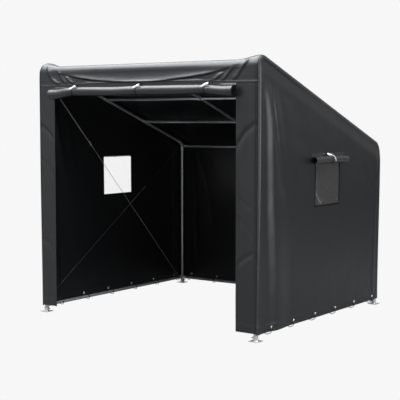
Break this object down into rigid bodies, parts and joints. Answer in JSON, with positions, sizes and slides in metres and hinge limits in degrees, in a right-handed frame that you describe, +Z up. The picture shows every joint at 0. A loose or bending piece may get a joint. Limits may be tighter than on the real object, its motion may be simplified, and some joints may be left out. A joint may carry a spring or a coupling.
{
  "type": "bike storage tent",
  "caption": "Lean-to storage tent: fabric cover over a bent steel tube frame on four feet, open front with a rolled-up door, mesh window in each side wall.",
  "frame": {"origin": "middle of the tent's outline on the floor, at the underside of the feet", "axes": "+X to the right seen from the open front, +Y from the open front to the rear wall, +Z up"},
  "size_m": [2.329, 2.1066, 2.1079],
  "materials": {
    "galvanised_steel": "galvanised, slightly mottled",
    "cover_fabric": "coated woven fabric, soft sheen",
    "window_mesh": "fine open mesh",
    "brace_rope": "thin braided rope",
    "toggle_tie": "smooth white toggle on a black elastic loop"
  },
  "bodies": {
    "root": {"foot_front_left": "galvanised_steel", "foot_front_right": "galvanised_steel", "foot_rear_left": "galvanised_steel", "foot_rear_right": "galvanised_steel", "leg_front_left": "galvanised_steel", "leg_front_right": "galvanised_steel", "leg_rear_left": "galvanised_steel", "leg_rear_right": "galvanised_steel", "base_rail_left": "galvanised_steel", "base_rail_right": "galvanised_steel", "base_rail_rear": "galvanised_steel", "corner_fitting_front_left": "galvanised_steel", "corner_fitting_front_right": "galvanised_steel", "corner_fitting_rear_left": "galvanised_steel", "corner_fitting_rear_right": "galvanised_steel", "rafter_left": "galvanised_steel", "rafter_right": "galvanised_steel", "middle_rafter_front": "galvanised_steel", "middle_rafter_middle": "galvanised_steel", "middle_rafter_rear": "galvanised_steel", "front_beam": "galvanised_steel", "purlin_upper": "galvanised_steel", "purlin_lower": "galvanised_steel", "rear_beam": "galvanised_steel", "brace_falling_left": "brace_rope", "brace_rising_left": "brace_rope", "brace_falling_right": "brace_rope", "brace_rising_right": "brace_rope", "roof_cover": "cover_fabric", "header_valance": "cover_fabric", "front_panel_left": "cover_fabric", "front_panel_right": "cover_fabric", "side_wall_left": "cover_fabric", "side_wall_right": "cover_fabric", "rear_wall": "cover_fabric", "window_mesh_left": "window_mesh", "window_mesh_right": "window_mesh", "door_roll": "cover_fabric", "window_roll_left": "cover_fabric", "window_roll_right": "cover_fabric", "door_tie_left": "toggle_tie", "door_tie_middle": "toggle_tie", "door_tie_right": "toggle_tie", "window_tie_left": "toggle_tie", "window_tie_right": "toggle_tie"}
  },
  "joints": []
}
